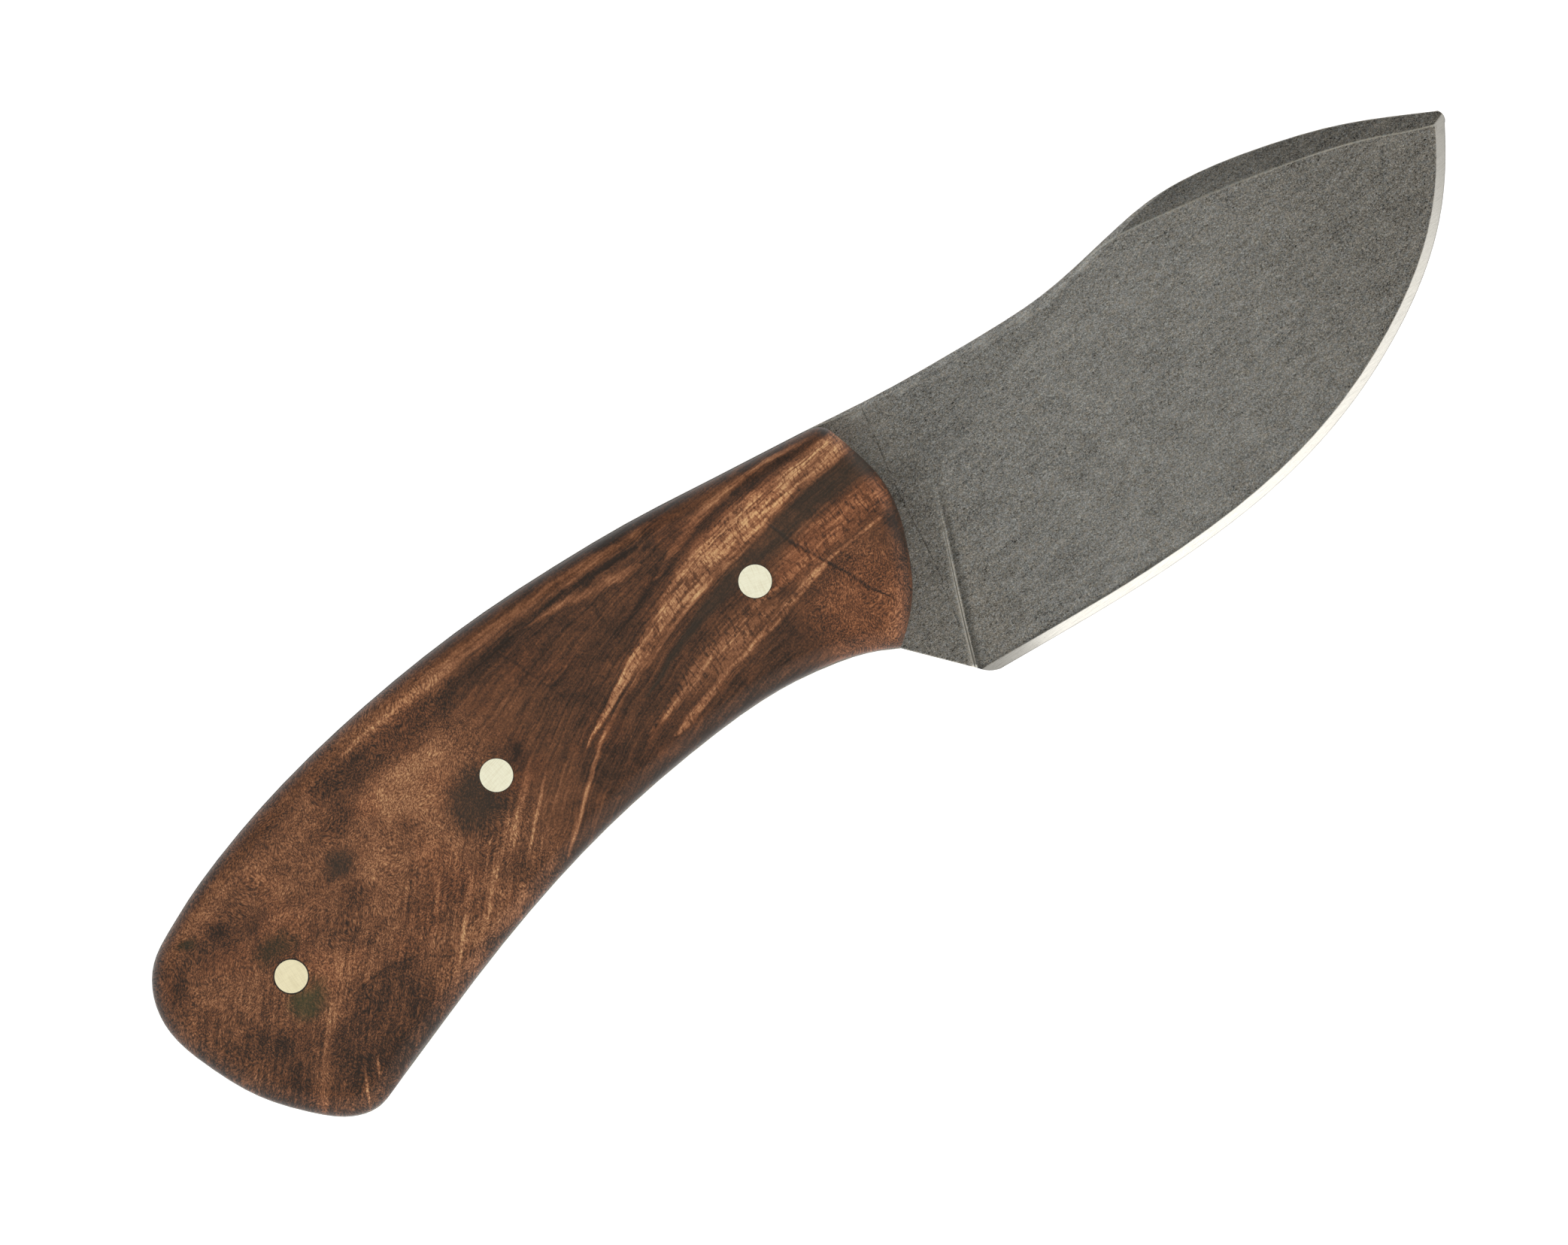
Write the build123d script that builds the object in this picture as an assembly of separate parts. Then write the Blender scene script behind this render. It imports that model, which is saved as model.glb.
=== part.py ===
from build123d import *
import os

# A full-tang belt knife with a deep, humped blade and a wood handle held by three pins.
# It is drawn lying on its side: X runs along the knife to the tip, Y runs up to the spine
# and Z runs through the steel, with the middle of the steel at Z = 0 until the very end,
# when everything is moved so that the knife lies on Z = 0 with its middle over the origin.
# While drawing, X = 0 is the column of the front pin. All lengths are in millimetres.

# Steel
STEEL_THICKNESS = 4.0
HALF_STEEL = STEEL_THICKNESS / 2
EDGE_HALF_THICKNESS = 0.03
SHOULDER_HALF_THICKNESS = 0.45
BEVEL_WIDTH = 1.3
# The wide flat grind reaches the spine along the hump. It is a little steeper towards the
# plunge, where it stops lower down, and towards the tip.
GRIND_SLOPE = 0.038
HEEL_EXTRA_SLOPE = 0.0246
HEEL_SLOPE_END = 0.55
TIP_EXTRA_SLOPE = 0.027
TIP_SLOPE_START = 0.6

# Handle
SCALE_THICKNESS = 8.9
GLUE_THICKNESS = 0.1
TANG_PROUD = 0.18
SCALE_EDGE_RADIUS = 2.8
HANDLE_HALF = HALF_STEEL + GLUE_THICKNESS + SCALE_THICKNESS

# Pins: diameter of the brass, and where each one stands with the bore it was given.
PIN_DIAMETER = 4.76
PINS = {
    "front_pin": ((0.0, 7.15), 4.96),
    "middle_pin": ((-45.9, 5.65), 4.96),
    "rear_pin": ((-86.15, -1.05), 5.16),
}
GLUE_RECESS = 0.06

# The side view, in lines that each start where the one before ends. The grip runs from
# the front of the finger hollow to the beak, the butt climbs to the back, and the back
# runs to the front of the wood. The directions are those at the joins.
GRIP_POINTS = [
    (11.5, -12.55), (7.5, -10.5), (2.0, -8.85), (-4.0, -7.75), (-11.0, -7.3), (-20.0, -7.6),
    (-30.0, -8.5), (-40.0, -10.0), (-52.0, -12.65), (-65.0, -16.4), (-76.0, -20.05),
    (-83.5, -22.6), (-87.0, -23.4),
]
BUTT_POINTS = [
    (-87.0, -23.4), (-90.4, -22.45), (-95.0, -18.6), (-100.0, -12.1), (-103.4, -4.4),
    (-104.95, 2.0), (-104.3, 7.0), (-101.3, 11.6), (-95.0, 15.0),
]
BACK_POINTS = [
    (-95.0, 15.0), (-85.0, 18.7), (-72.0, 22.0), (-57.0, 24.35), (-45.0, 25.4),
    (-34.0, 25.7), (-22.0, 25.3), (-10.0, 24.4), (5.0, 22.4), (20.0, 20.35),
]
GRIP_FRONT_DIRECTION = (-0.87, 0.49)
BEAK_DIRECTION = (-1.0, 0.03)
BUTT_TOP_DIRECTION = (0.91, 0.42)
WOOD_FRONT_DIRECTION = (0.99, -0.15)
# The spine dips, rises to a hump and falls to the tip.
SPINE_POINTS = [
    (20.0, 20.35), (30.0, 18.9), (40.0, 17.9), (50.0, 17.2), (56.0, 17.1), (62.0, 17.6),
    (70.0, 18.75), (77.5, 19.4), (85.0, 18.7), (95.0, 16.3), (105.0, 12.85), (118.0, 6.3),
]
SPINE_END_DIRECTION = (0.88, -0.47)
TIP_MIDDLE = (118.3, 5.4)
EDGE_POINTS = [
    (21.5, -23.05), (35.0, -24.2), (45.0, -24.85), (55.0, -25.05), (65.0, -24.6),
    (75.0, -23.2), (85.0, -20.5), (95.0, -16.3), (105.0, -10.2), (111.0, -4.8), (117.8, 4.3),
]
EDGE_START_DIRECTION = (1.0, -0.08)
EDGE_END_DIRECTION = (0.53, 0.85)
HEEL_MIDDLE = (20.0, -22.35)
HEEL_TOP = (19.0, -21.3)

# The grind stops at the plunge, a short wall that leans back from its foot, in the middle
# of the steel, to its top, above the surface.
PLUNGE_TOP_HEIGHT = 2.4
PLUNGE_FOOT = [
    (16.8, -26.0), (18.9, -20.8), (22.25, -12.5), (25.75, -4.5), (29.1, 3.2), (38.0, 24.0),
]
PLUNGE_TOP = [
    (16.3, -26.0), (18.4, -20.8), (21.7, -12.5), (25.1, -4.5), (28.2, 3.2), (35.5, 24.0),
]
BEYOND_TIP = 130.0
# How far the cutting shapes run on past the ends of what they cut.
OVERRUN = 3.0

# Spine chamfer: it grows from the front of the wood to its full width, seen from the side,
# over a share of the way to the tip, and runs into the false edge at another share.
CHAMFER_WIDTH = 0.95
CHAMFER_DEPTH = 1.1
CHAMFER_START_WIDTH = 0.2
CHAMFER_FULL_AT = 0.1
CHAMFER_END = 0.64

# False edge, at shares of the way from the wood to the tip: (share, width seen from the
# side, half thickness left at the spine).
SWAGE_STATIONS = [
    (0.47, 0.3, 1.95), (0.50, 0.9, 1.6), (0.53, 1.75, 1.35), (0.57, 2.7, 1.1), (0.62, 3.35, 0.88),
    (0.68, 3.6, 0.75), (0.78, 3.35, 0.62), (0.88, 2.65, 0.45), (0.96, 2.1, 0.25), (1.0, 1.75, 0.05),
]

# Each cutting surface is laid through this many steps, and is carried on past its inner and
# its outer row by these shares of its own width.
GRIND_STEPS = 10
GRIND_REACH = (0.1, 0.2)
BEVEL_STEPS = 20
BEVEL_REACH = (0.4, 0.8)
CHAMFER_STEPS = 16
CHAMFER_REACH = (0.5, 0.5)
SWAGE_REACH = (0.3, 0.4)

# Front of the wood: it turns off the back in a tight arc, bulges over the blade and comes
# back to the finger grip. The points are those between the arc and the inset grip. The other
# three sides follow the tang, at this many steps each.
BACK_SHARE_UNDER_WOOD = 0.9895
FRONT_CORNER_RADIUS = 2.9
FRONT_CORNER_ANGLE = 66.0
FRONT_POINTS = [(22.4, 13.4), (23.05, 9.0), (22.6, 4.4), (20.7, -1.0), (17.4, -7.0)]
FRONT_END_DIRECTION = (-0.82, -0.57)
GRIP_STEPS = 14
BUTT_STEPS = 12
BACK_STEPS = 12


def smooth_line(points, start, end):
    """Line through points that leaves and arrives in given directions."""
    return Spline(points, tangents=[start, end], tangent_scalars=[1.0, 1.0])


def spine_line():
    """Back of the blade, from the front of the wood to the tip."""
    return smooth_line(SPINE_POINTS, WOOD_FRONT_DIRECTION, SPINE_END_DIRECTION)


def edge_line():
    """Cutting edge, from the heel to the tip."""
    return smooth_line(EDGE_POINTS, EDGE_START_DIRECTION, EDGE_END_DIRECTION)


def grip_line():
    """Underside of the handle, from the finger hollow to the beak."""
    return smooth_line(GRIP_POINTS, GRIP_FRONT_DIRECTION, BEAK_DIRECTION)


def butt_line():
    """End of the handle, from the beak up to the back."""
    return smooth_line(BUTT_POINTS, BEAK_DIRECTION, BUTT_TOP_DIRECTION)


def back_line():
    """Top of the handle, from the butt to the front of the wood."""
    return smooth_line(BACK_POINTS, BUTT_TOP_DIRECTION, WOOD_FRONT_DIRECTION)


def outline_face():
    """Side view of the steel, blade and tang in one piece."""
    tip = ThreePointArc(SPINE_POINTS[-1], TIP_MIDDLE, EDGE_POINTS[-1])
    heel = ThreePointArc(EDGE_POINTS[0], HEEL_MIDDLE, HEEL_TOP)
    choil = Line(HEEL_TOP, GRIP_POINTS[0])
    handle = [grip_line(), butt_line(), back_line()]
    return make_face([*handle, spine_line(), tip, edge_line(), heel, choil])


def beside(line, fraction, distance, height):
    """Point at a distance to the right of a line, looking along it, and at a height."""
    place = line.position_at(fraction)
    along = line.tangent_at(fraction)
    return Vector(place.X + along.Y * distance, place.Y - along.X * distance, height)


def longer(points):
    """The same row of points, carried straight on past both ends."""
    before = points[0] + (points[0] - points[1]).normalized() * OVERRUN
    after = points[-1] + (points[-1] - points[-2]).normalized() * OVERRUN
    return [before, *points, after]


def material_above(inner, outer, reach):
    """Solid over the slanted surface that joins two rows of points, which overruns both rows."""
    inner_row = [a + (a - b) * reach[0] for a, b in zip(inner, outer)]
    outer_row = [b + (b - a) * reach[1] for a, b in zip(inner, outer)]
    surface = Face.make_surface_from_curves(Spline(outer_row), Spline(inner_row))
    return Solid.extrude(surface, Vector(0, 0, 2 * STEEL_THICKNESS))


def flat_slope(fraction):
    """Slope of the flat grind at a fraction of the way from the heel to the tip."""
    near_heel = max(0.0, 1 - fraction / HEEL_SLOPE_END)
    near_tip = max(0.0, fraction - TIP_SLOPE_START) / (1 - TIP_SLOPE_START)
    return GRIND_SLOPE + HEEL_EXTRA_SLOPE * near_heel ** 2 + TIP_EXTRA_SLOPE * near_tip ** 2


def shoulder_point(fraction):
    """Where the flat grind meets the cutting bevel."""
    return beside(edge_line(), fraction, -BEVEL_WIDTH, SHOULDER_HALF_THICKNESS)


def grind_top_point(fraction):
    """Where the flat grind passes over the spine."""
    on_spine = beside(spine_line(), fraction, 0.0, SHOULDER_HALF_THICKNESS)
    rise = flat_slope(fraction) * (on_spine - shoulder_point(fraction)).length
    return on_spine + Vector(0, 0, rise)


def ahead_of_plunge():
    """Everything on the blade side of the plunge, whose wall leans back as it rises."""
    rings = []
    for points, height in ((PLUNGE_FOOT, 0.0), (PLUNGE_TOP, PLUNGE_TOP_HEIGHT)):
        wall = Spline([(x, y, height) for x, y in points])
        rest = Polyline(
            (*points[-1], height), (BEYOND_TIP, points[-1][1], height),
            (BEYOND_TIP, points[0][1], height), (*points[0], height),
        )
        rings.append(Wire([wall, *rest.edges()]))
    return Solid.make_loft(rings, ruled=True)


def evenly(first, last, steps):
    """Fractions from first to last in equal steps."""
    return [first + (last - first) * step / steps for step in range(steps + 1)]


def row(fractions, point):
    """One point for each fraction."""
    return [point(fraction) for fraction in fractions]


def flat_grind():
    """Material that the wide flat grind takes off one side."""
    fractions = evenly(0.0, 1.0, GRIND_STEPS)
    inner = longer(row(fractions, grind_top_point))[:-1]
    outer = longer(row(fractions, shoulder_point))[:-1]
    return material_above(inner, outer, GRIND_REACH) & ahead_of_plunge()


def cutting_bevel():
    """Material that the narrow cutting bevel takes off one side."""
    fractions = evenly(0.0, 1.0, BEVEL_STEPS)
    edge_row = [beside(edge_line(), fraction, 0.0, EDGE_HALF_THICKNESS) for fraction in fractions]
    return material_above(longer(row(fractions, shoulder_point)), longer(edge_row), BEVEL_REACH)


def spine_chamfer():
    """Material that breaks the corner of the spine between the wood and the hump."""
    inner = []
    outer = []
    for fraction in evenly(0.0, CHAMFER_END, CHAMFER_STEPS):
        growth = min(1.0, fraction / CHAMFER_FULL_AT)
        width = CHAMFER_START_WIDTH + (CHAMFER_WIDTH - CHAMFER_START_WIDTH) * growth
        left = HALF_STEEL - CHAMFER_DEPTH * width / CHAMFER_WIDTH
        inner.append(beside(spine_line(), fraction, width, HALF_STEEL))
        outer.append(beside(spine_line(), fraction, 0.0, left))
    return material_above(longer(inner), longer(outer), CHAMFER_REACH)


def false_edge():
    """Material that the false edge takes off one side of the hump."""
    inner = []
    outer = []
    for fraction, width, left in SWAGE_STATIONS:
        on_flat = grind_top_point(fraction).Z - flat_slope(fraction) * width
        inner.append(beside(spine_line(), fraction, width, on_flat))
        outer.append(beside(spine_line(), fraction, 0.0, left))
    return material_above(longer(inner), longer(outer), SWAGE_REACH)


def blade():
    """Blade and full tang: one plate with its grinds on both sides and three pin holes."""
    steel = extrude(outline_face(), amount=HALF_STEEL, both=True)
    for cut in (cutting_bevel(), flat_grind(), false_edge(), spine_chamfer()):
        steel -= cut
        steel -= mirror(cut, Plane.XY)
    for (x, y), _ in PINS.values():
        steel -= Pos(x, y) * Cylinder(PIN_DIAMETER / 2, 2 * STEEL_THICKNESS)
    # Crumbs may be left where three grinds meet at the tip; the blade is the big solid.
    return steel.solids().sort_by(SortBy.VOLUME)[-1]


def inset_line(line, share, steps):
    """Same line a little inside the steel, from its start over a share of its length."""
    points = [beside(line, at, TANG_PROUD, 0.0) for at in evenly(0.0, share, steps)]
    return smooth_line(points, line.tangent_at(0.0), line.tangent_at(share))


def handle_face():
    """Side view of the wood, which stops just inside the rim of the tang."""
    grip = inset_line(grip_line(), 1.0, GRIP_STEPS)
    butt = inset_line(butt_line(), 1.0, BUTT_STEPS)
    back = inset_line(back_line(), BACK_SHARE_UNDER_WOOD, BACK_STEPS)
    corner = JernArc(back @ 1, back % 1, FRONT_CORNER_RADIUS, -FRONT_CORNER_ANGLE)
    front = smooth_line([corner @ 1, *FRONT_POINTS, grip @ 0], corner % 1, FRONT_END_DIRECTION)
    return make_face([grip, butt, back, corner, front])


def scale():
    """One handle slab on the +Z side: flat outer face, rounded rim, three bores."""
    top = HANDLE_HALF
    slab = Pos(0, 0, top - SCALE_THICKNESS) * extrude(handle_face(), amount=SCALE_THICKNESS)
    rim = slab.faces().sort_by(Axis.Z)[-1].edges()
    slab = fillet(rim, SCALE_EDGE_RADIUS)
    for (x, y), bore in PINS.values():
        slab -= Pos(x, y, top) * Cylinder(bore / 2, 3 * SCALE_THICKNESS)
    return slab


def epoxy_bond():
    """Hardened glue on the +Z side: a film under the slab and a collar round each pin."""
    glue = Pos(0, 0, HALF_STEEL) * extrude(handle_face(), amount=GLUE_THICKNESS)
    collar_height = HANDLE_HALF - GLUE_RECESS - HALF_STEEL
    for (x, y), bore in PINS.values():
        glue += Pos(x, y, HALF_STEEL + collar_height / 2) * Cylinder(bore / 2, collar_height)
        glue -= Pos(x, y, HANDLE_HALF / 2) * Cylinder(PIN_DIAMETER / 2, 2 * HANDLE_HALF)
    return glue


def pin(x, y):
    """Brass rod through both slabs and the tang, ground level with the wood."""
    return Pos(x, y) * Cylinder(PIN_DIAMETER / 2, 2 * HANDLE_HALF)


def parts():
    """Every separate piece, by name, around the middle of the steel."""
    pieces = {
        "blade": blade(),
        "right_scale": scale(),
        "left_scale": mirror(scale(), Plane.XY),
        "right_epoxy_bond": epoxy_bond(),
        "left_epoxy_bond": mirror(epoxy_bond(), Plane.XY),
    }
    for name, ((x, y), _) in PINS.items():
        pieces[name] = pin(x, y)
    return pieces


def main():
    pieces = parts()
    middle = pieces["blade"].bounding_box().center()
    to_ground = Pos(-middle.X, -middle.Y, HANDLE_HALF)
    os.makedirs("parts", exist_ok=True)
    for name, piece in pieces.items():
        export_step(to_ground * piece, f"parts/{name}.step")


main()
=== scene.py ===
import math

import bpy
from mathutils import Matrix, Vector


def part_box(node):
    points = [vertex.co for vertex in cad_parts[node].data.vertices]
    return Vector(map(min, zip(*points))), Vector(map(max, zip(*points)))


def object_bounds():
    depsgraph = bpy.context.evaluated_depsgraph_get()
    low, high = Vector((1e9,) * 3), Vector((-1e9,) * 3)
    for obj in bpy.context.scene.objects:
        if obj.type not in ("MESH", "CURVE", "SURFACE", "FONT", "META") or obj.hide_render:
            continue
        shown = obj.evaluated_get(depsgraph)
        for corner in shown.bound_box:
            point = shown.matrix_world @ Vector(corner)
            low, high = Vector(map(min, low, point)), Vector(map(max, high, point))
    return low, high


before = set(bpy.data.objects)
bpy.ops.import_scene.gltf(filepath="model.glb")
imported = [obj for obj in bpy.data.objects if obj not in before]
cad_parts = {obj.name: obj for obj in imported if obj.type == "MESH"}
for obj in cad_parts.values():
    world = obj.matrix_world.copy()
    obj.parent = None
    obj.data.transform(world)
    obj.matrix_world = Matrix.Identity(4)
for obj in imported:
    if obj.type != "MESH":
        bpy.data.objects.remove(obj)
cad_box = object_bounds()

lo, hi = cad_box
MIDDLE_HEIGHT = (lo.z + hi.z) / 2
# The drawing's zero: the column of the front pin, 7.15 mm under its centre. The materials
# work in millimetres from there, with X to the tip, Y to the spine and Z out of the steel.
MM = 1000.0
PIN_ABOVE_ZERO = 7.15
pin_low, pin_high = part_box("front_pin")
ZERO = Vector((
    (pin_low.x + pin_high.x) / 2,
    (pin_low.y + pin_high.y) / 2 - PIN_ABOVE_ZERO / MM,
    MIDDLE_HEIGHT,
))


def srgb(red, green, blue):
    """Linear colour for an 8-bit screen colour."""
    return tuple(
        (c / 255 / 12.92) if c <= 10.3 else ((c / 255 + 0.055) / 1.055) ** 2.4
        for c in (red, green, blue)
    )


# Half widths in mm at which a drawn band vanishes and is at full strength
THINNEST_BAND = 0.02
FULL_BAND = 0.3


class Nodes:
    """A node tree, and a short way to write sums as its nodes.

    A value is a number or another node's output. Lengths are millimetres.
    """

    def __init__(self, tree):
        self.tree = tree

    def node(self, kind, **settings):
        made = self.tree.nodes.new(kind)
        for key, value in settings.items():
            setattr(made, key, value)
        return made

    def feed(self, socket, value):
        if isinstance(value, bpy.types.NodeSocket):
            self.tree.links.new(value, socket)
        else:
            socket.default_value = value

    def sum(self, operation, *values):
        made = self.node("ShaderNodeMath", operation=operation)
        for socket, value in zip(made.inputs, values):
            self.feed(socket, value)
        return made.outputs[0]

    def chain(self, operation, values):
        total = values[0]
        for value in values[1:]:
            total = self.sum(operation, total, value)
        return total

    def add(self, *values):
        return self.chain("ADD", values)

    def times(self, *values):
        return self.chain("MULTIPLY", values)

    def strongest(self, *masks):
        return self.chain("MAXIMUM", masks)

    def dimmed(self, mask, share):
        """1 away from the mask, and less by the share inside it."""
        return self.sum("MULTIPLY_ADD", mask, -share, 1.0)

    def step(self, value, start, end, low=0.0, high=1.0):
        """Smooth step from low at start to high at end."""
        made = self.node("ShaderNodeMapRange", interpolation_type="SMOOTHSTEP")
        for socket, v in zip(made.inputs, (value, start, end, low, high)):
            self.feed(socket, v)
        return made.outputs[0]

    def vector(self, operation, *values):
        made = self.node("ShaderNodeVectorMath", operation=operation)
        for socket, value in zip(made.inputs, values):
            self.feed(socket, value)
        return made.outputs["Value"] if operation in ("LENGTH", "DOT_PRODUCT") else made.outputs[0]

    def xyz(self, x, y, z):
        made = self.node("ShaderNodeCombineXYZ")
        for socket, value in zip(made.inputs, (x, y, z)):
            self.feed(socket, value)
        return made.outputs[0]

    def split(self, vector):
        made = self.node("ShaderNodeSeparateXYZ")
        self.feed(made.inputs[0], vector)
        return made.outputs[0], made.outputs[1], made.outputs[2]

    def noise(self, vector, scale, detail, rough=0.5, twist=0.0, colour=False):
        made = self.node("ShaderNodeTexNoise")
        self.feed(made.inputs["Vector"], vector)
        made.inputs["Scale"].default_value = scale
        made.inputs["Detail"].default_value = detail
        made.inputs["Roughness"].default_value = rough
        made.inputs["Distortion"].default_value = twist
        return made.outputs["Color" if colour else "Fac"]

    def around(self, value, centre, spread):
        """Noise value brought to about -spread..spread."""
        return self.sum("MULTIPLY_ADD", value, spread * 2, -centre * spread * 2)

    def drift(self, vector, scale):
        """Noise of about -0.5..0.5 in each direction."""
        noise = self.noise(vector, scale, 2.0, colour=True)
        return self.vector("SUBTRACT", noise, (0.5, 0.5, 0.5))

    def moved(self, vector, drift, reach):
        """A place pushed off by a drift, as far as reach in each direction."""
        return self.vector("ADD", vector, self.vector("MULTIPLY", drift, reach))

    def local(self, vector, x, y, angle, size_x, size_y, size_z=60.0):
        """Coordinates that are 1 long at the rim of a turned ellipse."""
        made = self.node("ShaderNodeMapping", vector_type="TEXTURE")
        self.feed(made.inputs["Vector"], vector)
        made.inputs["Location"].default_value = (x, y, 0)
        made.inputs["Rotation"].default_value = (0, 0, math.radians(angle))
        made.inputs["Scale"].default_value = (size_x, size_y, size_z)
        return made.outputs[0]

    def spot(self, vector, x, y, size_x, size_y, angle, soft):
        """1 inside an ellipse, 0 outside, with a soft rim."""
        place = self.local(vector, x, y, angle, size_x, size_y)
        return self.step(self.vector("LENGTH", place), 1 - soft, 1 + soft, 1.0, 0.0)

    def curve(self, x, points):
        """Value along X through given points, in millimetres."""
        xs = [p[0] for p in points]
        ys = [p[1] for p in points]
        low, high = min(ys), max(ys)
        span = (high - low) or 1.0
        made = self.node("ShaderNodeFloatCurve")
        share = self.node("ShaderNodeMapRange")
        for socket, v in zip(share.inputs, (x, xs[0], xs[-1], 0.0, 1.0)):
            self.feed(socket, v)
        line = made.mapping.curves[0]
        places = [((px - xs[0]) / (xs[-1] - xs[0]), (py - low) / span) for px, py in points]
        line.points[0].location = places[0]
        line.points[1].location = places[-1]
        for place in places[1:-1]:
            line.points.new(*place)
        made.mapping.update()
        self.tree.links.new(share.outputs[0], made.inputs["Value"])
        return self.sum("MULTIPLY_ADD", made.outputs[0], span, low)

    def beside(self, value, along, line):
        """How far value lies past a line drawn along the other axis."""
        return self.sum("SUBTRACT", value, self.curve(along, line))

    def off(self, value, along, line):
        """How far value lies from that line, on either side."""
        return self.sum("ABSOLUTE", self.beside(value, along, line))

    def band(self, x, y, centre, half_width, soft):
        """1 along a curved band, 0 away from it. It fades out past the ends of half_width."""
        half_width = [(half_width[0][0] - 1, 0.0), *half_width, (half_width[-1][0] + 1, 0.0)]
        wide = self.sum("MAXIMUM", self.curve(x, half_width), THINNEST_BAND)
        ends = self.step(wide, THINNEST_BAND, FULL_BAND)
        share = self.sum("DIVIDE", self.off(y, x, centre), wide)
        return self.times(self.step(share, 1 - soft, 1 + soft, 1.0, 0.0), ends)

    def mix(self, share, a, b, blend="MIX"):
        made = self.node("ShaderNodeMix", data_type="RGBA", blend_type=blend)
        self.feed(made.inputs[0], share)
        for socket, colour in ((made.inputs[6], a), (made.inputs[7], b)):
            self.feed(socket, (*colour, 1) if isinstance(colour, tuple) else colour)
        return made.outputs[2]

    def ramp(self, value, stops):
        made = self.node("ShaderNodeValToRGB")
        self.feed(made.inputs[0], value)
        bar = made.color_ramp
        bar.elements[0].position = stops[0][0]
        bar.elements[0].color = (*stops[0][1], 1)
        bar.elements[1].position = stops[-1][0]
        bar.elements[1].color = (*stops[-1][1], 1)
        for place, colour in stops[1:-1]:
            bar.elements.new(place).color = (*colour, 1)
        return made.outputs[0]

    def streaks(self, vector, across, along, angle, level, width):
        """Thin scratches: noise pulled long in one direction, and only its crests kept."""
        # Each angle takes its own place in the noise, so that no two sets line up.
        pulled = self.local(vector, 3.7 * angle, 1.3 * angle, angle, along, across, 5.0)
        return self.step(self.noise(pulled, 1.0, 1.0, 0.4), level, level + width)


class Shader(Nodes):
    """A material's nodes, round its Principled BSDF."""

    def __init__(self, name):
        self.mat = bpy.data.materials.new(name)
        self.mat.use_nodes = True
        super().__init__(self.mat.node_tree)
        self.bsdf = self.tree.nodes["Principled BSDF"]

    def bump(self, height, distance_mm, strength, under=None):
        made = self.node("ShaderNodeBump")
        made.inputs["Strength"].default_value = strength
        made.inputs["Distance"].default_value = distance_mm / MM
        self.feed(made.inputs["Height"], height)
        if under is not None:
            self.feed(made.inputs["Normal"], under)
        return made.outputs[0]

    def place(self):
        """Millimetres from the drawing's zero."""
        where = self.node("ShaderNodeTexCoord").outputs["Object"]
        where = self.vector("SUBTRACT", where, tuple(ZERO))
        return self.vector("MULTIPLY", where, (MM, MM, MM))

    def normal(self):
        return self.node("ShaderNodeNewGeometry").outputs["Normal"]

    def set(self, **values):
        for key, value in values.items():
            self.feed(self.bsdf.inputs[key.replace("_", " ")], value)


# The figure of the slab in view. Everything is in the drawing's millimetres.
# Tone of the ground from the butt to the front: tan at the butt, dark in the middle
GROUND_TONE = [
    (-106, 0.32), (-96, 0.385), (-82, 0.40), (-62, 0.43), (-52, 0.41), (-45, 0.35),
    (-35, 0.29), (-20, 0.25), (-6, 0.26), (5, 0.32), (15, 0.34), (24, 0.30),
]
# The line that the fibres and light bands follow: steep at the left, flatter at the front
FLOW_LINE = [
    (-60, -23), (-50, -12.4), (-40, -3.1), (-30, 3.9), (-20, 8.6), (-10, 12.1), (0, 14.4),
    (10, 16.0), (24, 17.4),
]
# Above the flow line the fibres lean over until they run along the back, at this height.
BACK_HEIGHT = 26.0
FIBRE_RUN = 20.0

# Light bands: strength, softness of the rim, centre line, half width along X
FRONT_BANDS = {
    # The wide, checked band at the top, and the two fine lines beside it
    "upper_tan": (
        0.50, 0.5,
        [(-33, 1.4), (-26, 5.2), (-20, 8.0), (-12, 11.1), (-5, 13.3), (0, 14.4), (10, 15.5),
         (16, 16.1), (22, 16.9)],
        [(-33, 0.15), (-26, 0.6), (-20, 1.1), (-12, 1.8), (-5, 2.5), (2, 2.7), (10, 2.1),
         (16, 1.8), (22, 1.8)],
    ),
    "upper_fine": (
        0.26, 0.5,
        [(-32, 0.4), (-24, 4.6), (-16, 7.6), (-8, 10.2), (0, 12.2)],
        [(-32, 0.1), (-24, 0.35), (-8, 0.4), (0, 0.2)],
    ),
    # The band under the front pin, its reddish run to the front, and its thin lines
    "under_pin": (
        0.27, 0.5,
        [(-24, -2.0), (-20, -0.6), (-15, 0.8), (-8, 2.3), (-2, 3.5), (5, 5.2)],
        [(-24, 0.3), (-20, 0.8), (-15, 1.7), (-8, 2.4), (-2, 2.0), (2, 0.3)],
    ),
    "ruddy_run": (
        0.28, 0.7,
        [(0, 4.6), (5, 5.7), (10, 6.8), (22, 7.6)],
        [(1, 0.2), (4, 1.2), (7, 2.2), (10, 2.6), (16, 2.5), (22, 2.2)],
    ),
    "lower_line": (
        0.40, 0.5,
        [(-21, -4.2), (-12, -1.8), (-4, 0.2), (2, 1.7), (9, 3.4), (20, 4.4)],
        [(-21, 0.3), (-15, 0.7), (-4, 0.5), (4, 0.6), (9, 0.4), (13, 0.22), (20, 0.2)],
    ),
    "under_pin_fine": (
        0.20, 0.5,
        [(-22, -1.4), (-12, 1.4), (-4, 3.4)],
        [(-22, 0.3), (-12, 0.5), (-4, 0.3)],
    ),
}
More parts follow.
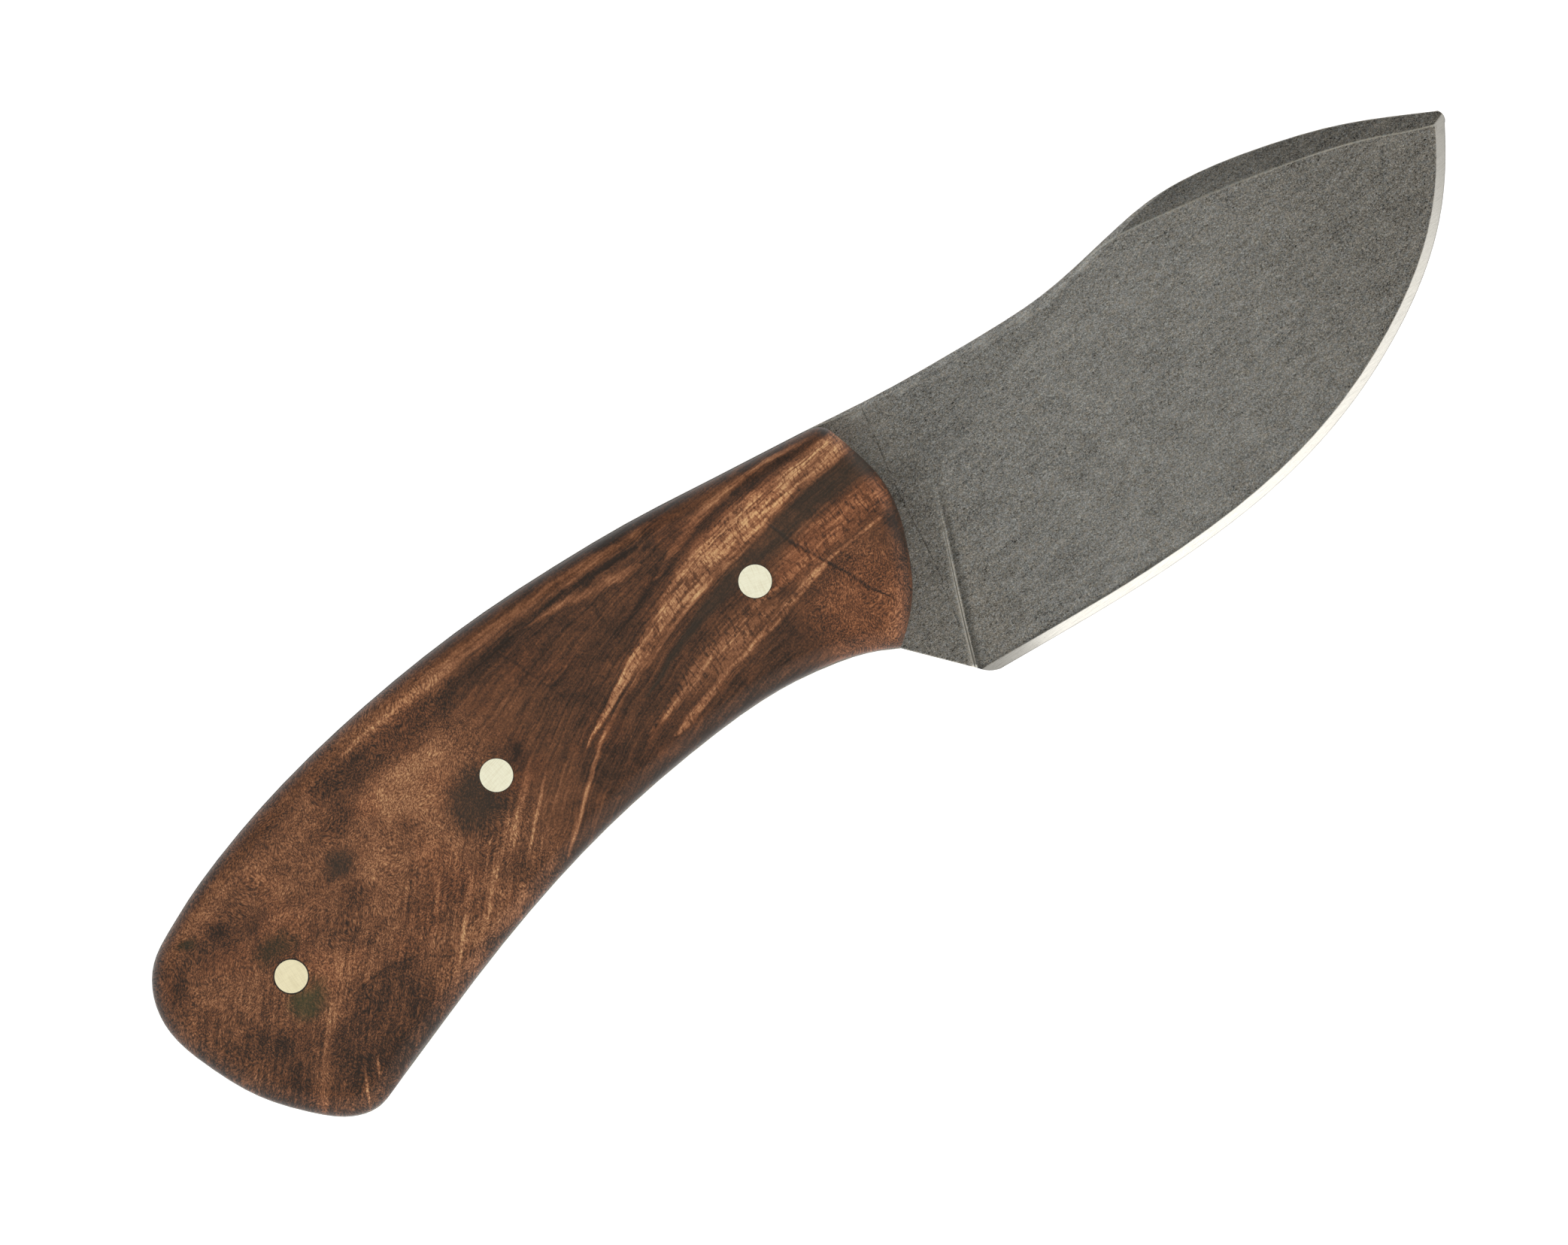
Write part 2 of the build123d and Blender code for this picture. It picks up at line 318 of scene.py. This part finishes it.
BACK_BANDS = {
    "over_dark_line": (
        0.30, 0.6,
        [(-11, 15.6), (-5, 18.0), (0, 19.6), (8, 20.3), (18, 19.3)],
        [(-11, 0.3), (-6, 0.7), (0, 0.7), (8, 0.4), (18, 0.2)],
    ),
    # under_back: partly figure, partly a painted highlight along the inner edge of the back's
    # rounding
    "under_back": (
        0.25, 0.9,
        [(-66, 20.0), (-56, 21.2), (-45, 22.1), (-36, 23.0), (-28, 22.9), (-18, 22.7),
         (-8, 22.6)],
        [(-62, 0.2), (-54, 0.5), (-46, 0.8), (-36, 1.0), (-28, 1.0), (-15, 0.7), (-8, 0.3)],
    ),
    "under_back_fine": (
        0.26, 0.8,
        [(-32, 20.8), (-26, 20.5), (-19, 19.0), (-13, 18.6)],
        [(-32, 0.3), (-25, 0.5), (-17, 0.7), (-13, 0.4)],
    ),
}
DARK_BANDS = {
    # Between the two light bands, over the upper one, and under the back
    "between": (
        -0.16, 0.6,
        [(-22, 2.6), (-12, 6.4), (-6, 8.4), (0, 9.6), (8, 11.1), (15, 12.1), (22, 12.1)],
        [(-22, 0.2), (-14, 0.6), (-5, 1.2), (4, 1.7), (15, 1.9), (22, 1.5)],
    ),
    "above": (
        -0.17, 0.7,
        [(-18, 12.8), (-8, 16.4), (0, 18.0), (10, 18.9), (20, 18.9)],
        [(-18, 0.3), (-10, 0.7), (0, 0.8), (10, 0.6), (20, 0.3)],
    ),
    "under": (
        -0.22, 0.8,
        [(-68, 18.4), (-55, 18.2), (-45, 18.8), (-35, 20.4), (-25, 21.2), (-12, 20.8)],
        [(-68, 0.8), (-58, 2.2), (-48, 2.0), (-38, 0.9), (-25, 0.5), (-12, 0.4)],
    ),
}
# Cracks: the split by the front pin and the hair line before it, as X along Y, and the dark arc
# at the belly, as Y along X
SPLIT = [(-7, 15.2), (-1, 12.0), (5, 9.2), (11, 6.6), (14, 5.8)]
HAIR = [(8, -31.5), (14, -33.5), (21, -36.4)]
CRACK_FADE = 2.0
ARC = [(-82, -8.6), (-76, -8.0), (-70, -8.9), (-66, -11.4), (-60, -13.4), (-52, -13.4)]
# Straight light lines: strength, softness of the rim, X, Y, half length, half width, angle
LINES = [
    (0.40, 0.5, -35.8, -3.0, 9.2, 0.32, 39), (0.20, 0.5, -41.0, -6.6, 2.6, 0.30, 47),
    (0.24, 0.6, -46.2, -0.4, 6.4, 0.55, 43), (0.30, 0.5, -44.4, -2.2, 6.4, 0.26, 43.5),
    (0.14, 0.6, -49.0, -1.2, 5.0, 0.3, 45), (0.20, 0.6, -57.0, -8.5, 7.0, 0.5, 44),
    (0.18, 0.6, -61.5, -9.0, 6.0, 0.4, 47), (0.16, 0.6, -64.5, -6.0, 5.0, 0.35, 48),
    (0.22, 0.6, -89.0, -14.0, 7.5, 0.7, 50), (0.42, 0.5, -86.4, -20.2, 2.6, 0.22, 62),
    (0.40, 0.5, -83.4, -18.6, 1.5, 0.22, 58), (0.16, 0.6, -91.5, -15.0, 4.0, 0.3, 52),
]
# Places in the figure that also have a colour of their own
KNOT = (-71.6, 8.2)
MIDDLE_PIN_DARK_PATCH = (-50.2, 4.6)
GREEN_STAIN = (-86.3, -5.3)
REAR_PIN_STAIN = (-85.6, 3.6)
BUTT_SPECK = (-96.2, 10.8)
# Patches: strength, X, Y, half length, half width, angle, softness of the rim
LIGHT_PATCHES = [
    (0.12, -82.5, -3.5, 5.0, 3.4, 35, 0.7), (0.12, -74.0, 15.0, 7.0, 2.4, 12, 0.7),
    (0.13, -93.0, 13.0, 6.0, 1.6, 18, 0.7), (0.10, -95.0, 0.5, 6.0, 3.6, 10, 0.8),
    (0.12, -64.0, -12.5, 6.0, 1.4, 22, 0.7), (0.12, 11.5, -5.0, 8.0, 6.0, 30, 0.7),
    (0.10, -84.0, 9.0, 5.0, 2.2, 20, 0.8), (0.10, -68.0, 2.0, 4.0, 3.0, 40, 0.8),
    (0.08, -40.0, 12.0, 5.0, 3.0, 30, 0.8), (0.14, 4.0, -9.8, 4.5, 1.2, -14, 0.7),
]
DARK_PLACES = [
    (-0.30, *KNOT, 2.4, 2.0, 0, 0.5), (-0.14, -60.2, 7.2, 1.3, 1.0, 0, 0.7),
    (-0.27, *MIDDLE_PIN_DARK_PATCH, 4.3, 4.4, -30, 0.45), (-0.16, -42.6, 7.0, 1.8, 2.6, 0, 0.6),
    (-0.12, *GREEN_STAIN, 2.6, 1.9, 20, 0.7), (-0.25, *REAR_PIN_STAIN, 3.2, 1.7, 0, 0.7),
    (-0.26, *BUTT_SPECK, 1.3, 0.8, 0, 0.7), (-0.24, -91.8, 10.4, 1.3, 1.1, 0, 0.7),
    (-0.19, -88.0, 8.4, 8.5, 1.2, -4, 0.7), (-0.20, -100.2, 6.6, 2.4, 1.1, 45, 0.7),
    (-0.16, -78.5, 17.6, 5.5, 1.6, 6, 0.8), (-0.17, -79.0, -14.0, 9.5, 5.2, 24, 0.5),
    (-0.10, -92.0, -8.5, 5.0, 2.2, -20, 0.8), (-0.08, -65.0, -4.0, 3.0, 2.5, 40, 0.8),
    (-0.10, -26.5, 11.0, 3.5, 1.3, 30, 0.8), (-0.08, -10.0, -5.0, 12.0, 1.6, 8, 0.6),
    (-0.16, 20.6, 3.4, 0.9, 3.0, 12, 0.6), (-0.20, -67.0, 15.4, 4.0, 2.4, 14, 0.7),
    (-0.10, -73.0, 2.5, 3.0, 1.6, 30, 0.8), (-0.10, -98.0, -6.0, 3.0, 5.0, 20, 0.8),
    (-0.17, -86.0, -17.6, 10.0, 5.0, -14, 0.8), (-0.08, -70.0, -15.0, 8.0, 2.5, 18, 0.8),
]
# The hidden slab shows the same figure the other way round: its scale and shift from this one
OTHER_SIDE_SCALE = (-1, 0.92, 1)
OTHER_SIDE_SHIFT = (-78.0, 2.5, 0)


def wood(name, other_side):
    """Oiled burl. The figure comes from the tables; its fibres, checks and pores are noise."""
    s = Shader(name)
    p = s.place()
    if other_side:
        p = s.vector("MULTIPLY_ADD", p, OTHER_SIDE_SCALE, OTHER_SIDE_SHIFT)
    # Nothing in the figure is quite where it was drawn: gentle is a little off, w much more.
    wander = s.drift(p, 0.16)
    gentle = s.moved(p, wander, (1.6, 1.2, 0))
    w = s.moved(s.moved(p, wander, (4.0, 3.0, 0)), s.drift(p, 0.9), (2.0, 1.4, 0))
    x, y, z = s.split(gentle)

    tone = s.curve(x, GROUND_TONE)
    blotch = s.around(s.noise(w, 0.13, 3.0, 0.55, 0.6), 0.5, 0.28)
    mottle = s.around(s.noise(w, 0.5, 3.0, 0.65, 0.8), 0.5, 0.20)
    tone = s.add(tone, blotch, mottle)

    flow = s.curve(x, FLOW_LINE)
    past_flow = s.sum("SUBTRACT", y, flow)
    lean = s.sum("DIVIDE", FIBRE_RUN, s.sum("SUBTRACT", BACK_HEIGHT, flow))
    above_flow = s.times(s.sum("MAXIMUM", past_flow, 0.0), lean)
    off_flow = s.add(s.sum("MINIMUM", past_flow, 0.0), above_flow)
    front = s.step(x, -54.0, -36.0)

    def fibres(scale_x, across, scale_across, scale_z, detail, rough):
        """Noise pulled long along X, or along the line that across is measured from."""
        place = s.xyz(s.times(x, scale_x), s.times(across, scale_across), s.times(z, scale_z))
        return s.noise(place, 1.0, detail, rough)

    ray = fibres(0.09, off_flow, 2.6, 0.3, 2.0, 0.7)
    silk = fibres(0.16, off_flow, 1.15, 0.2, 3.0, 0.6)
    streaky = s.step(silk, 0.32, 0.64, 0.40, 1.20)
    calm = s.step(fibres(0.14, y, 1.6, 0.3, 3.0, 0.6), 0.3, 0.7, 0.55, 1.3)
    slant = s.noise(s.local(p, 0, 0, 48, 5.0, 0.46, 4.0), 1.0, 3.0, 0.65)
    slanted = s.times(s.step(y, 9.0, -3.0), s.step(x, -38.0, -52.0))

    # Light bands: those at the front break up into silky streaks, those at the back are calmer;
    # under_back is partly a painted highlight.
    masks = {}
    for bands, glow in ((FRONT_BANDS, streaky), (BACK_BANDS, calm)):
        for band, (strength, soft, centre, half_width) in bands.items():
            masks[band] = s.band(x, y, centre, half_width, soft)
            tone = s.add(tone, s.times(masks[band], glow, strength))
    straight = s.moved(p, wander, (0.7, 0.5, 0))
    for strength, soft, at_x, at_y, size_x, size_y, angle in LINES:
        mask = s.spot(straight, at_x, at_y, size_x, size_y, angle, soft)
        tone = s.add(tone, s.times(mask, strength))
    marks = {}
    for strength, at_x, at_y, size_x, size_y, angle, soft in LIGHT_PATCHES + DARK_PLACES:
        mask = s.spot(w, at_x, at_y, size_x, size_y, angle, soft)
        marks[at_x, at_y] = mask
        tone = s.sum("MULTIPLY_ADD", mask, strength, tone)
    # A light patch with a straight upper edge
    patch = s.times(s.spot(w, -55.5, 11.0, 8.5, 5.4, -8, 0.55), s.step(y, 15.5, 14.5))
    tone = s.add(tone, s.times(patch, 0.20))
    for band, (strength, soft, centre, half_width) in DARK_BANDS.items():
        masks[band] = s.band(x, y, centre, half_width, soft)
        tone = s.add(tone, s.times(masks[band], strength))

    # Fibres show between the middle pin and the front; pores show at the butt and low in front.
    low_front = s.spot(w, 12.5, -5.0, 9.5, 8.5, 0, 0.45)
    fibred = s.times(front, s.sum("SUBTRACT", 1.0, low_front))
    pored = s.step(fibred, 0.9, 0.2, 0.25, 1.0)
    swirl = s.moved(p, wander, (4.5, 4.5, 0))
    dots = s.noise(s.local(swirl, 0, 0, 50, 0.27, 0.16, 3.0), 1.0, 1.0, 0.5)
    pore = s.times(s.step(dots, 0.48, 0.36), pored)
    fleck = s.times(s.step(dots, 0.53, 0.66), pored)
    grit = s.noise(p, 3.2, 2.0, 0.7)
    groove = s.times(s.step(ray, 0.52, 0.36), fibred)
    shine = s.times(s.step(ray, 0.54, 0.70), fibred)
    # Small checks run across the light bands.
    tan = s.strongest(
        masks["upper_tan"], masks["under_pin"], masks["ruddy_run"], masks["lower_line"],
    )
    checked = s.step(fibres(2.6, off_flow, 0.7, 0.3, 2.0, 0.6), 0.50, 0.62)
    check = s.times(checked, tan, s.step(silk, 0.32, 0.46))
    ragged = s.step(grit, 0.3, 0.5)

    def crack(line, wide, low, high):
        """A thin, ragged line across the slab, from low to high along Y."""
        ends = s.times(s.step(y, low, low + CRACK_FADE), s.step(y, high, high - CRACK_FADE))
        return s.times(s.step(s.off(x, y, line), wide, 0.0), ends, ragged)

    split = crack(SPLIT, 0.4, -7.2, 13.5)
    hair = crack(HAIR, 0.26, 8.0, 21.5)
    arc = s.times(s.step(s.off(y, x, ARC), 0.5, 0.0), s.step(x, -83, -80), s.step(x, -52, -56))
    tone = s.add(
        tone,
        s.times(pore, -0.23), s.times(fleck, 0.21), s.around(grit, 0.5, 0.30),
        s.times(groove, -0.11), s.times(shine, 0.12), s.times(check, -0.26),
        s.times(split, -0.3), s.times(hair, -0.12),
        s.times(arc, -0.13), s.times(s.around(slant, 0.5, 0.42), slanted),
    )

    # Painted shade: the rounded rim is darker where its normal turns away from straight up.
    _, _, up = s.split(s.normal())
    rim = s.step(s.sum("ABSOLUTE", up), 0.992, 0.55)
    tone = s.sum("MULTIPLY_ADD", rim, -0.19, tone)

    colour = s.ramp(tone, [
        (0.0, srgb(41, 29, 20)), (0.2, srgb(76, 50, 34)), (0.4, srgb(111, 71, 46)),
        (0.6, srgb(148, 99, 68)), (0.8, srgb(188, 136, 96)), (1.0, srgb(224, 181, 130)),
    ])
    ruddy = s.strongest(
        s.spot(w, 10.5, -4.5, 8.5, 7.0, 30, 0.6), masks["ruddy_run"],
        s.step(s.noise(w, 0.09, 2.0), 0.5, 0.68, 0.0, 0.6),
    )
    colour = s.mix(s.times(ruddy, 0.5), colour, (1.12, 0.92, 0.80), "MULTIPLY")
    faint_green = s.strongest(marks[REAR_PIN_STAIN], marks[BUTT_SPECK])
    green = s.strongest(marks[GREEN_STAIN], s.times(faint_green, 0.35))
    colour = s.mix(s.times(green, 0.75), colour, srgb(58, 64, 38))
    # Greyer at the knot, in the dark patch by the middle pin, and between the light bands
    grey = s.strongest(marks[MIDDLE_PIN_DARK_PATCH], marks[KNOT], masks["between"])
    colour = s.mix(s.times(grey, 0.35), colour, srgb(70, 60, 48))

    height = s.add(
        s.times(pore, -1.0), s.times(groove, -0.5), s.times(check, -0.5), s.times(split, -2.0),
        s.times(grit, 0.35),
    )
    s.set(
        Base_Color=colour,
        Roughness=s.add(0.47, s.times(pore, 0.12), s.around(grit, 0.5, 0.06)),
        Specular_IOR_Level=0.3,
        Normal=s.bump(height, 0.035, 0.7),
    )
    return s.mat


# Grey of the stonewashed flats, and brightness of the polished bevel, along X
FLAT_GREY = [
    (20, 0.216), (30, 0.222), (50, 0.250), (80, 0.241), (100, 0.202), (118, 0.184),
]
# Painted shade: the polished bevel is darker toward the heel and the tip
BEVEL_GREY = [
    (19, 0.24), (24, 0.34), (27, 0.46), (33, 0.74), (42, 0.80), (70, 0.80), (82, 0.74),
    (95, 0.66), (106, 0.56), (114, 0.42), (118, 0.36),
]
# The plunge's ridge and the line scribed round the wood, as X along Y; painted shade on the
# plunge's wall
PLUNGE_RIDGE = [(-21, 18.4), (-12.5, 21.85), (-4.5, 25.25), (3.2, 28.35), (8, 30.2)]
SCRIBED_LINE = [
    (-19.5, 19.0), (-15.5, 20.0), (-10, 21.3), (-6, 22.3), (6, 24.0), (10, 24.8), (14.5, 25.8),
    (19, 26.6),
]
WALL_SHADE_GREY = [(-22, 0.22), (-12, 0.17), (-4, 0.12), (4, 0.08)]
# The scuffed strip under the spine's chamfer, and the lower line of the false edge, along X
SCUFFED_LINE = [(20, 19.0), (28, 18.0), (38, 16.8), (55, 16.0), (65, 17.2), (71, 17.8)]
FALSE_EDGE_LINE = [
    (60, 16.5), (67, 17.9), (70.2, 17.85), (73.3, 17.4), (77.2, 16.7), (81.8, 15.8),
    (87.4, 14.6), (96.8, 12.2), (106.2, 9.2), (113.5, 6.05), (117.2, 4.6),
]
EDGE_ROUND_RADIUS = 0.22
# Greys: edges lightened, partly worn and partly painted highlight; the false edge's painted
# highlight; the bare rim of the tang
EDGE_WEAR_AND_HIGHLIGHT_GREY = (0.60, 0.60, 0.60)
FALSE_EDGE_HIGHLIGHT_GREY = (0.52, 0.52, 0.50)
TANG_GREY = (0.36, 0.36, 0.36)
# Tints that wander over the grey, and the colour of the polished bevel
WARM_TINT = (1.0, 0.93, 0.80)
COOL_TINT = (0.965, 0.98, 0.94)
BEVEL_TINT = (0.95, 0.925, 0.86)


def steel():
    """Stonewashed flats with light edges, partly worn and partly painted highlight, and a polished
    cutting bevel.
    """
    s = Shader("stonewashed_steel")
    p = s.place()
    x, y, z = s.split(p)
    face = s.node("ShaderNodeNewGeometry").outputs["True Normal"]
    _, toward_spine, up = s.split(face)
    # 1 on a flat, 0 on the rim. The cutting bevel is told by its tilt toward the edge.
    tilt = s.sum("ABSOLUTE", up)
    bevel = s.times(
        s.step(tilt, 0.915, 0.935), s.step(tilt, 0.985, 0.972),
        s.step(toward_spine, -0.06, -0.11),
    )
    depth = s.sum("ABSOLUTE", z)
    rounded = s.node("ShaderNodeBevel", samples=6)
    rounded.inputs["Radius"].default_value = EDGE_ROUND_RADIUS / MM
    turn = s.vector("DOT_PRODUCT", rounded.outputs[0], face)

    # Plunge: a painted highlight along the ridge, painted shade in the radius at its foot, and a
    # painted highlight on the ricasso's bottom corner
    ridge = s.beside(x, y, PLUNGE_RIDGE)
    plunge = s.step(y, 6.0, -14.0)
    ridge_highlight = s.times(s.step(ridge, -0.9, 0.2), s.step(ridge, 0.5, 0.2), plunge)
    plunge_foot_shade = s.times(s.step(ridge, 0.3, 0.6), s.step(ridge, 2.0, 0.7), s.step(y, 9.0, -6.0))
    corner = s.spot(p, 18.5, -20.7, 0.45, 0.3, -20, 0.6)

    # Stonewash: grain, clouds, soft streaks along the blade, and scratches in all directions
    grain = s.noise(p, 4.6, 2.0, 0.8)
    speck = s.noise(p, 2.2, 2.0, 0.75, 0.5)
    cloud = s.noise(p, 0.16, 3.0, 0.6)
    drift = s.noise(s.local(p, 0, 0, 3, 3.5, 0.8, 3.0), 1.0, 3.0, 0.7)
    dashes = s.strongest(
        s.streaks(p, 0.085, 0.36, 3, 0.645, 0.06), s.streaks(p, 0.08, 0.5, -11, 0.665, 0.05),
        s.streaks(p, 0.085, 0.32, 66, 0.665, 0.06), s.streaks(p, 0.08, 0.32, -48, 0.665, 0.06),
    )
    hairs = s.strongest(
        s.streaks(p, 0.05, 3.4, 84, 0.735, 0.03), s.streaks(p, 0.05, 3.0, -30, 0.745, 0.03),
    )
    pit = s.streaks(p, 0.12, 0.4, 14, 0.62, 0.07)
    value = s.add(
        s.curve(x, FLAT_GREY),
        s.around(grain, 0.5, 0.34), s.around(speck, 0.5, 0.13),
        s.around(cloud, 0.5, 0.05), s.around(drift, 0.5, 0.12),
        s.times(dashes, 0.26), s.times(hairs, 0.26), s.times(pit, -0.12),
    )
    scuff = s.times(
        s.step(s.off(y, x, SCUFFED_LINE), 1.0, 0.1), s.step(x, 19.5, 22.0),
        s.step(x, 73.0, 70.0),
    )
    value = s.add(value, s.times(scuff, s.step(drift, 0.42, 0.6), 0.09))
    # Darker burnish beside the bevel, lighter ricasso at the spine
    flat = s.step(tilt, 0.993, 0.997)
    burnish = s.times(s.step(depth, 0.490, 0.458), flat, s.step(x, 75.0, 45.0, 0.3, 1.0))
    value = s.times(value, s.dimmed(burnish, 0.38))
    value = s.add(value, s.times(s.step(y, 4.0, 15.0), s.step(x, 34.0, 26.0), 0.05))
    # The scribed line round the wood comes and goes; the plunge's foot gets painted shade.
    scribe_there = s.step(s.noise(p, 0.8, 1.0), 0.36, 0.5)
    scribe = s.times(s.step(s.off(x, y, SCRIBED_LINE), 0.17, 0.04), scribe_there)
    value = s.times(value, s.dimmed(scribe, 0.45), s.dimmed(plunge_foot_shade, 0.45))
    # The plunge's wall is mixed to a dark grey: painted shade.
    wall = s.times(
        s.step(s.sum("ABSOLUTE", ridge), 1.3, 0.9), s.step(tilt, 0.97, 0.85),
        s.step(tilt, 0.02, 0.1), s.step(y, 10.0, 8.0),
    )
    wall_shade_grey = s.curve(y, WALL_SHADE_GREY)
    value = s.mix(wall, value, s.xyz(wall_shade_grey, wall_shade_grey, wall_shade_grey))
    # Edges are lightened where the rounded normal turns away from the face, but not at the plunge:
    # partly wear, partly painted highlight. The ridge's painted highlight joins them.
    edge_wear_and_highlight = s.times(
        s.step(turn, 0.9999, 0.9935), s.step(plunge_foot_shade, 0.4, 0.0),
        s.step(s.sum("ABSOLUTE", ridge), 0.8, 1.2),
    )
    edge_wear_and_highlight = s.times(s.sum("MAXIMUM", edge_wear_and_highlight, ridge_highlight), s.step(grain, 0.25, 0.6, 0.45, 1.0))
    value = s.mix(s.times(edge_wear_and_highlight, 0.8), value, EDGE_WEAR_AND_HIGHLIGHT_GREY)
    # A painted highlight on the ricasso's bottom corner
    value = s.mix(corner, value, (1.0, 1.0, 1.0))
    # A painted highlight along the line of the false edge, painted shade on the chamfers and other
    # steep faces, and the bare rim of the tang
    line = s.times(
        s.step(s.off(y, x, FALSE_EDGE_LINE), 0.22, 0.03), s.step(x, 60.0, 68.0),
        s.step(x, 117.6, 116.8),
    )
    value = s.mix(s.times(line, s.step(grain, 0.3, 0.6, 0.35, 0.75)), value, FALSE_EDGE_HIGHLIGHT_GREY)
    # Painted shade: faces that tilt far from flat are mixed toward black.
    value = s.mix(s.step(tilt, 0.80, 0.62, 0.0, 0.22), value, (0.0, 0.0, 0.0))
    tang = s.step(s.sum("MULTIPLY_ADD", y, -0.35, x), 12.0, 9.0)
    value = s.mix(tang, value, TANG_GREY)
    # Warmer toward the tip, and beside the wood, where the warm tint is a painted reflection of
    # the wood
    warmth = s.add(
        s.noise(p, 2.6, 2.0, 0.7), s.step(x, 60.0, 118.0, 0.03, -0.05),
        s.step(x, 34.0, 24.0, 0.0, -0.07),
    )
    tint = s.mix(s.step(warmth, 0.38, 0.62), WARM_TINT, COOL_TINT)
    washed = s.mix(1.0, value, tint, "MULTIPLY")
    # Bevel: its grey along X, fine grinding marks along it, and a line of painted shade at the
    # very edge
    fine = s.streaks(p, 0.06, 3.0, 2, 0.50, 0.12)
    shade = s.times(
        s.curve(x, BEVEL_GREY), s.step(depth, 0.035, 0.085, 0.76, 1.0),
        s.dimmed(fine, 0.12),
    )
    bright = s.node("ShaderNodeCombineColor")
    for socket, share in zip(bright.inputs, BEVEL_TINT):
        s.feed(socket, s.times(shade, share))
    dull = s.add(0.5, s.around(speck, 0.5, 0.10), s.times(dashes, -0.12))
    height = s.add(s.times(grain, 0.5), s.times(dashes, -0.6), s.times(pit, -0.5))
    s.set(
        Base_Color=s.mix(bevel, washed, bright.outputs[0]),
        Metallic=1.0,
        Roughness=s.sum("MULTIPLY_ADD", bevel, -0.26, dull),
        Normal=s.bump(height, 0.010, 0.6, rounded.outputs[0]),
    )
    return s.mat


PALE_BRASS = srgb(255, 253, 228)
REAR_BRASS = srgb(252, 243, 206)
BRASS_MARKS = srgb(206, 192, 146)


def brass(name, angle, tone):
    """Pale, dull sanded brass; each pin was sanded in its own direction."""
    s = Shader(name)
    p = s.place()
    sanding = s.noise(s.local(p, 0, 0, angle, 2.2, 0.16, 3.0), 1.0, 2.0, 0.6)
    cross = s.noise(s.local(p, 0, 0, angle + 84, 1.6, 0.18, 3.0), 1.0, 1.0, 0.5)
    dull = s.noise(p, 0.7, 2.0)
    marks = s.add(s.step(sanding, 0.58, 0.34), s.times(s.step(cross, 0.56, 0.38), 0.5))
    s.set(
        Base_Color=s.mix(s.times(marks, 0.18), tone, BRASS_MARKS),
        Metallic=0.1,
        Roughness=s.add(0.82, s.around(dull, 0.5, 0.06)),
        Normal=s.bump(sanding, 0.006, 0.6),
    )
    return s.mat


def glue():
    """Dark epoxy with wood dust in it."""
    s = Shader("dark_epoxy")
    p = s.place()
    dust = s.noise(p, 4.0, 3.0, 0.6)
    s.set(
        Base_Color=s.ramp(dust, [(0.35, srgb(20, 15, 12)), (0.7, srgb(52, 38, 28))]),
        Roughness=s.step(dust, 0.3, 0.7, 0.3, 0.5),
        Normal=s.bump(dust, 0.01, 0.5),
    )
    return s.mat


def put(node, mat):
    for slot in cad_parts[node].material_slots:
        slot.material = mat


put("blade", steel())
put("right_scale", wood("burl_wood_right", False))
put("left_scale", wood("burl_wood_left", True))
put("front_pin", brass("brass_front_pin", 78, PALE_BRASS))
put("middle_pin", brass("brass_middle_pin", 12, PALE_BRASS))
put("rear_pin", brass("brass_rear_pin", 88, REAR_BRASS))
EPOXY = glue()
put("right_epoxy_bond", EPOXY)
put("left_epoxy_bond", EPOXY)

# Floor: a pale sheet of opal acrylic, lit a little from below as on a product table
FLOOR_SIZE = 6.0
opal = Shader("opal_floor")
opal.set(
    Base_Color=(0.55, 0.55, 0.55, 1),
    Roughness=0.9,
    Emission_Color=(1, 1, 1, 1),
    Emission_Strength=0.88,
)
bpy.ops.mesh.primitive_plane_add(size=FLOOR_SIZE, location=(0, 0, 0))
floor = bpy.context.object
floor.name = "floor"
floor.data.materials.append(opal.mat)

# Camera: straight above, with the knife's X axis 35 degrees up from the picture's horizontal.
FRAME_WIDTH = 0.2231
ANGLE = math.radians(35.0)
LENS = 900.0
SENSOR_WIDTH = 36.0
CLIP_END = 30
cam_data = bpy.data.cameras.new("camera")
cam = bpy.data.objects.new("camera", cam_data)
bpy.context.collection.objects.link(cam)
cam_data.lens = LENS
cam_data.sensor_width = SENSOR_WIDTH
cam_data.clip_end = CLIP_END
cam.location = ZERO + Vector((0, 0, FRAME_WIDTH * LENS / SENSOR_WIDTH))
cam.rotation_euler = (0, 0, -ANGLE)
bpy.context.scene.camera = cam


# Light tent: white cloth all round, dark where the camera looks in and on the spine's side
world = bpy.data.worlds.new("tent")
bpy.context.scene.world = world
world.use_nodes = True
tent = Nodes(world.node_tree)
way = tent.node("ShaderNodeTexCoord").outputs["Generated"]


def toward(direction, start, end, low, high):
    """Brightness that goes from low to high as the tent's wall comes round to a direction."""
    facing = tent.vector("DOT_PRODUCT", way, Vector(direction).normalized())
    return tent.step(facing, start, end, low, high)


opening = toward((0, 0, 1), 0.86, 0.97, 1.18, 0.34)
dark_side = toward((0, 1, 1.1), 0.55, 0.92, 1.0, 0.22)
lit_side = toward((0, -1, 1.3), 0.80, 0.95, 0.0, 0.35)
sky = tent.tree.nodes["Background"]
sky.inputs["Color"].default_value = (1.0, 0.99, 0.965, 1)
tent.feed(sky.inputs["Strength"], tent.add(tent.times(opening, dark_side), lit_side))
# The photograph's white ground and its tones are plain sRGB.
bpy.context.scene.view_settings.view_transform = "Standard"
